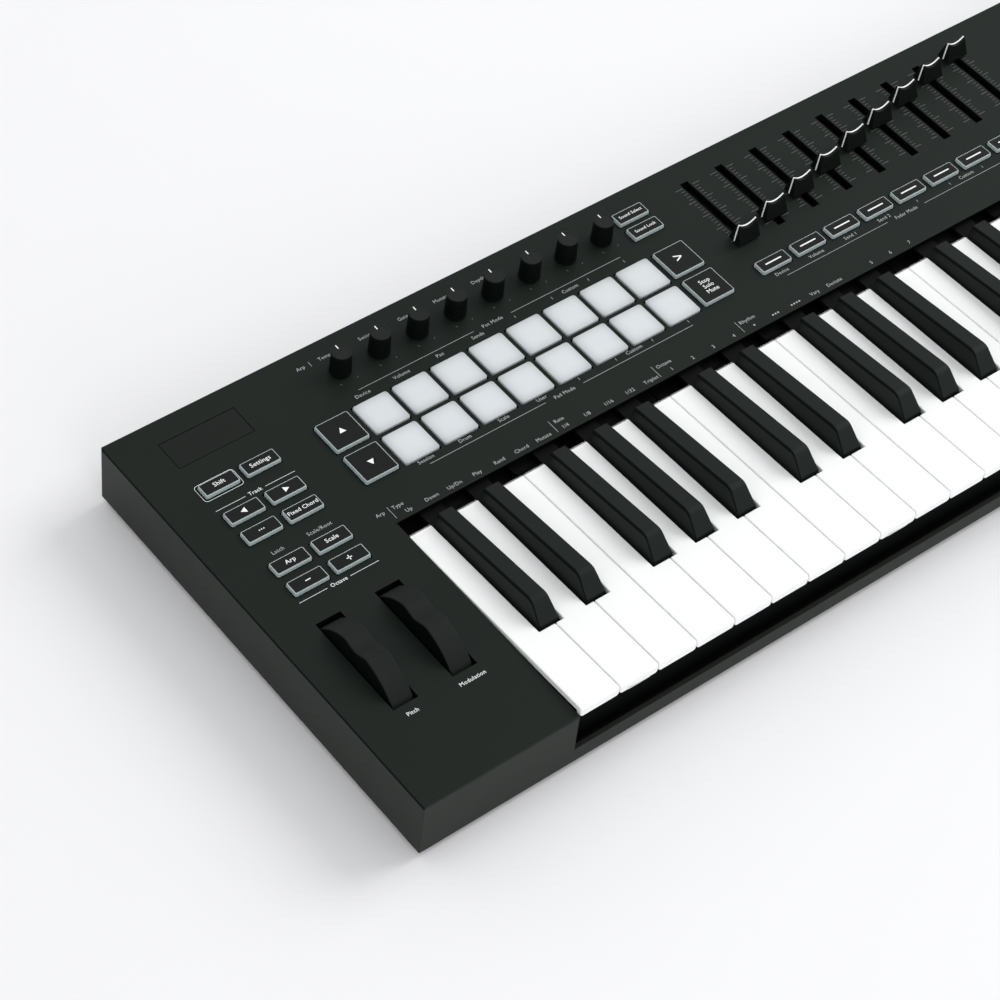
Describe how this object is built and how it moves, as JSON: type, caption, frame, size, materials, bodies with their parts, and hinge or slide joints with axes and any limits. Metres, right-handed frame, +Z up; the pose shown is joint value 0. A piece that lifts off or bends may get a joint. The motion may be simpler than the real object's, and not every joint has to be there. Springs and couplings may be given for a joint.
{
  "type": "synthesizer keyboard",
  "caption": "Slim keyboard synthesizer controller with piano keys, thumb wheels, drum pads, knobs, slide faders and rubber buttons on a flat panel.",
  "frame": {"origin": "on the surface it stands on, under the middle of the body", "axes": "+X along the keyboard towards its high notes, +Y from the player to the rear panel, +Z up"},
  "size_m": [0.789, 0.258, 0.054],
  "materials": {
    "case_plastic": "fine matte moulded texture",
    "foot_rubber": "matte",
    "screw_steel": "blackened steel",
    "window_acrylic": "smoked, glossy",
    "socket_plastic": "satin",
    "white_key_plastic": "gloss white",
    "black_key_plastic": "satin black",
    "frame_plastic": "matte",
    "board_green": "solder mask",
    "contact_rubber": "matte",
    "stop_felt": "felt",
    "button_rubber": "satin black top with a paler rim",
    "pad_silicone": "matte pale grey",
    "knob_rubber": "ribbed, matte black",
    "cap_plastic": "semi-gloss black",
    "wheel_rubber": "matte black",
    "bracket_plastic": "matte"
  },
  "bodies": {
    "root": {"top_case": "case_plastic", "bottom_case": "case_plastic", "key_frame": "frame_plastic", "key_contact_board": "board_green", "key_contact_strip": "contact_rubber", "key_stop_felt": "stop_felt", "control_board": "board_green", "wheel_bracket": "bracket_plastic", "display_window": "window_acrylic", "usb_socket": "socket_plastic", "midi_socket": "socket_plastic", "pedal_socket": "socket_plastic", "foot_front_left": "foot_rubber", "foot_front_right": "foot_rubber", "foot_rear_left": "foot_rubber", "foot_rear_right": "foot_rubber", "case_screw_front_left": "screw_steel", "case_screw_front_right": "screw_steel", "case_screw_rear_left": "screw_steel", "case_screw_rear_right": "screw_steel"},
    "octave_1_white_keys_cegb": {"octave_1_white_keys_cegb": "white_key_plastic"},
    "octave_1_white_keys_dfa": {"octave_1_white_keys_dfa": "white_key_plastic"},
    "octave_1_black_keys": {"octave_1_black_keys": "black_key_plastic"},
    "octave_2_white_keys_cegb": {"octave_2_white_keys_cegb": "white_key_plastic"},
    "octave_2_white_keys_dfa": {"octave_2_white_keys_dfa": "white_key_plastic"},
    "octave_2_black_keys": {"octave_2_black_keys": "black_key_plastic"},
    "octave_3_white_keys_cegb": {"octave_3_white_keys_cegb": "white_key_plastic"},
    "octave_3_white_keys_dfa": {"octave_3_white_keys_dfa": "white_key_plastic"},
    "octave_3_black_keys": {"octave_3_black_keys": "black_key_plastic"},
    "octave_4_white_keys_cegb": {"octave_4_white_keys_cegb": "white_key_plastic"},
    "octave_4_white_keys_dfa": {"octave_4_white_keys_dfa": "white_key_plastic"},
    "octave_4_black_keys": {"octave_4_black_keys": "black_key_plastic"},
    "pitch_wheel": {"pitch_wheel": "wheel_rubber"},
    "modulation_wheel": {"modulation_wheel": "wheel_rubber"},
    "knob_1": {"knob_1": "knob_rubber"},
    "knob_2": {"knob_2": "knob_rubber"},
    "knob_3": {"knob_3": "knob_rubber"},
    "knob_4": {"knob_4": "knob_rubber"},
    "knob_5": {"knob_5": "knob_rubber"},
    "knob_6": {"knob_6": "knob_rubber"},
    "knob_7": {"knob_7": "knob_rubber"},
    "knob_8": {"knob_8": "knob_rubber"},
    "fader_1": {"fader_1": "cap_plastic"},
    "fader_2": {"fader_2": "cap_plastic"},
    "fader_3": {"fader_3": "cap_plastic"},
    "fader_4": {"fader_4": "cap_plastic"},
    "fader_5": {"fader_5": "cap_plastic"},
    "fader_6": {"fader_6": "cap_plastic"},
    "fader_7": {"fader_7": "cap_plastic"},
    "fader_8": {"fader_8": "cap_plastic"},
    "fader_9": {"fader_9": "cap_plastic"},
    "function_buttons": {"function_buttons": "button_rubber"},
    "track_buttons": {"track_buttons": "button_rubber"},
    "octave_buttons": {"octave_buttons": "button_rubber"},
    "arrow_buttons": {"arrow_buttons": "button_rubber"},
    "scene_buttons": {"scene_buttons": "button_rubber"},
    "mode_buttons": {"mode_buttons": "button_rubber"},
    "fader_buttons": {"fader_buttons": "button_rubber"},
    "transport_buttons": {"transport_buttons": "button_rubber"},
    "pad_mat": {"pad_mat": "pad_silicone"}
  },
  "joints": [
    {"name": "octave_1_white_keys_cegb_press", "type": "hinge", "parent": "root", "child": "octave_1_white_keys_cegb", "pos_m": [0, 0.0245, 0.03085], "axis": [1, 0, 0], "range_deg": [0, 3.6], "stiffness_Nm_per_rad": 0.6, "springref_deg": -8.59},
    {"name": "octave_1_white_keys_dfa_press", "type": "hinge", "parent": "root", "child": "octave_1_white_keys_dfa", "pos_m": [0, 0.0245, 0.03085], "axis": [1, 0, 0], "range_deg": [0, 3.6], "stiffness_Nm_per_rad": 0.5, "springref_deg": -8.59},
    {"name": "octave_1_black_keys_press", "type": "hinge", "parent": "root", "child": "octave_1_black_keys", "pos_m": [0, 0.0245, 0.03085], "axis": [1, 0, 0], "range_deg": [0, 3.6], "stiffness_Nm_per_rad": 0.6, "springref_deg": -8.59},
    {"name": "octave_2_white_keys_cegb_press", "type": "hinge", "parent": "root", "child": "octave_2_white_keys_cegb", "pos_m": [0, 0.0245, 0.03085], "axis": [1, 0, 0], "range_deg": [0, 3.6], "stiffness_Nm_per_rad": 0.6, "springref_deg": -8.59},
    {"name": "octave_2_white_keys_dfa_press", "type": "hinge", "parent": "root", "child": "octave_2_white_keys_dfa", "pos_m": [0, 0.0245, 0.03085], "axis": [1, 0, 0], "range_deg": [0, 3.6], "stiffness_Nm_per_rad": 0.5, "springref_deg": -8.59},
    {"name": "octave_2_black_keys_press", "type": "hinge", "parent": "root", "child": "octave_2_black_keys", "pos_m": [0, 0.0245, 0.03085], "axis": [1, 0, 0], "range_deg": [0, 3.6], "stiffness_Nm_per_rad": 0.6, "springref_deg": -8.59},
    {"name": "octave_3_white_keys_cegb_press", "type": "hinge", "parent": "root", "child": "octave_3_white_keys_cegb", "pos_m": [0, 0.0245, 0.03085], "axis": [1, 0, 0], "range_deg": [0, 3.6], "stiffness_Nm_per_rad": 0.6, "springref_deg": -8.59},
    {"name": "octave_3_white_keys_dfa_press", "type": "hinge", "parent": "root", "child": "octave_3_white_keys_dfa", "pos_m": [0, 0.0245, 0.03085], "axis": [1, 0, 0], "range_deg": [0, 3.6], "stiffness_Nm_per_rad": 0.5, "springref_deg": -8.59},
    {"name": "octave_3_black_keys_press", "type": "hinge", "parent": "root", "child": "octave_3_black_keys", "pos_m": [0, 0.0245, 0.03085], "axis": [1, 0, 0], "range_deg": [0, 3.6], "stiffness_Nm_per_rad": 0.6, "springref_deg": -8.59},
    {"name": "octave_4_white_keys_cegb_press", "type": "hinge", "parent": "root", "child": "octave_4_white_keys_cegb", "pos_m": [0, 0.0245, 0.03085], "axis": [1, 0, 0], "range_deg": [0, 3.6], "stiffness_Nm_per_rad": 0.6, "springref_deg": -8.59},
    {"name": "octave_4_white_keys_dfa_press", "type": "hinge", "parent": "root", "child": "octave_4_white_keys_dfa", "pos_m": [0, 0.0245, 0.03085], "axis": [1, 0, 0], "range_deg": [0, 3.6], "stiffness_Nm_per_rad": 0.5, "springref_deg": -8.59},
    {"name": "octave_4_black_keys_press", "type": "hinge", "parent": "root", "child": "octave_4_black_keys", "pos_m": [0, 0.0245, 0.03085], "axis": [1, 0, 0], "range_deg": [0, 3.6], "stiffness_Nm_per_rad": 0.6, "springref_deg": -8.59},
    {"name": "pitch_wheel_turn", "type": "hinge", "parent": "root", "child": "pitch_wheel", "pos_m": [-0.36615, -0.0479, 0.0164], "axis": [1, 0, 0], "range_deg": [-25, 25], "stiffness_Nm_per_rad": 0.06},
    {"name": "modulation_wheel_turn", "type": "hinge", "parent": "root", "child": "modulation_wheel", "pos_m": [-0.332, -0.0479, 0.0164], "axis": [1, 0, 0], "range_deg": [-25, 25]},
    {"name": "knob_1_turn", "type": "hinge", "parent": "root", "child": "knob_1", "pos_m": [-0.2685, 0.1055, 0.04], "axis": [0, 0, 1], "range_deg": [-150, 150]},
    {"name": "knob_2_turn", "type": "hinge", "parent": "root", "child": "knob_2", "pos_m": [-0.2444, 0.1055, 0.04], "axis": [0, 0, 1], "range_deg": [-150, 150]},
    {"name": "knob_3_turn", "type": "hinge", "parent": "root", "child": "knob_3", "pos_m": [-0.2203, 0.1055, 0.04], "axis": [0, 0, 1], "range_deg": [-150, 150]},
    {"name": "knob_4_turn", "type": "hinge", "parent": "root", "child": "knob_4", "pos_m": [-0.1962, 0.1055, 0.04], "axis": [0, 0, 1], "range_deg": [-150, 150]},
    {"name": "knob_5_turn", "type": "hinge", "parent": "root", "child": "knob_5", "pos_m": [-0.1721, 0.1055, 0.04], "axis": [0, 0, 1], "range_deg": [-150, 150]},
    {"name": "knob_6_turn", "type": "hinge", "parent": "root", "child": "knob_6", "pos_m": [-0.148, 0.1055, 0.04], "axis": [0, 0, 1], "range_deg": [-150, 150]},
    {"name": "knob_7_turn", "type": "hinge", "parent": "root", "child": "knob_7", "pos_m": [-0.1239, 0.1055, 0.04], "axis": [0, 0, 1], "range_deg": [-150, 150]},
    {"name": "knob_8_turn", "type": "hinge", "parent": "root", "child": "knob_8", "pos_m": [-0.0998, 0.1055, 0.04], "axis": [0, 0, 1], "range_deg": [-150, 150]},
    {"name": "fader_1_slide", "type": "slide", "parent": "root", "child": "fader_1", "axis": [0, 1, 0], "range_m": [0, 0.045]},
    {"name": "fader_2_slide", "type": "slide", "parent": "root", "child": "fader_2", "axis": [0, 1, 0], "range_m": [-0.0056, 0.0394]},
    {"name": "fader_3_slide", "type": "slide", "parent": "root", "child": "fader_3", "axis": [0, 1, 0], "range_m": [-0.0112, 0.0338]},
    {"name": "fader_4_slide", "type": "slide", "parent": "root", "child": "fader_4", "axis": [0, 1, 0], "range_m": [-0.0168, 0.0282]},
    {"name": "fader_5_slide", "type": "slide", "parent": "root", "child": "fader_5", "axis": [0, 1, 0], "range_m": [-0.0224, 0.0226]},
    {"name": "fader_6_slide", "type": "slide", "parent": "root", "child": "fader_6", "axis": [0, 1, 0], "range_m": [-0.028, 0.017]},
    {"name": "fader_7_slide", "type": "slide", "parent": "root", "child": "fader_7", "axis": [0, 1, 0], "range_m": [-0.0336, 0.0114]},
    {"name": "fader_8_slide", "type": "slide", "parent": "root", "child": "fader_8", "axis": [0, 1, 0], "range_m": [-0.0392, 0.0058]},
    {"name": "fader_9_slide", "type": "slide", "parent": "root", "child": "fader_9", "axis": [0, 1, 0], "range_m": [-0.0448, 0.0002]},
    {"name": "function_buttons_press", "type": "slide", "parent": "root", "child": "function_buttons", "axis": [0, 0, -1], "range_m": [0, 0.0012], "stiffness_N_per_m": 1500, "springref_m": -0.0015},
    {"name": "track_buttons_press", "type": "slide", "parent": "root", "child": "track_buttons", "axis": [0, 0, -1], "range_m": [0, 0.0012], "stiffness_N_per_m": 1500, "springref_m": -0.0015},
    {"name": "octave_buttons_press", "type": "slide", "parent": "root", "child": "octave_buttons", "axis": [0, 0, -1], "range_m": [0, 0.0012], "stiffness_N_per_m": 1500, "springref_m": -0.0015},
    {"name": "arrow_buttons_press", "type": "slide", "parent": "root", "child": "arrow_buttons", "axis": [0, 0, -1], "range_m": [0, 0.0012], "stiffness_N_per_m": 1500, "springref_m": -0.0015},
    {"name": "scene_buttons_press", "type": "slide", "parent": "root", "child": "scene_buttons", "axis": [0, 0, -1], "range_m": [0, 0.0012], "stiffness_N_per_m": 1500, "springref_m": -0.0015},
    {"name": "mode_buttons_press", "type": "slide", "parent": "root", "child": "mode_buttons", "axis": [0, 0, -1], "range_m": [0, 0.0012], "stiffness_N_per_m": 1500, "springref_m": -0.0015},
    {"name": "fader_buttons_press", "type": "slide", "parent": "root", "child": "fader_buttons", "axis": [0, 0, -1], "range_m": [0, 0.0012], "stiffness_N_per_m": 1500, "springref_m": -0.0015},
    {"name": "transport_buttons_press", "type": "slide", "parent": "root", "child": "transport_buttons", "axis": [0, 0, -1], "range_m": [0, 0.0012], "stiffness_N_per_m": 1500, "springref_m": -0.0015},
    {"name": "pad_mat_press", "type": "slide", "parent": "root", "child": "pad_mat", "axis": [0, 0, -1], "range_m": [0, 0.0008], "stiffness_N_per_m": 1500, "springref_m": -0.0015}
  ]
}
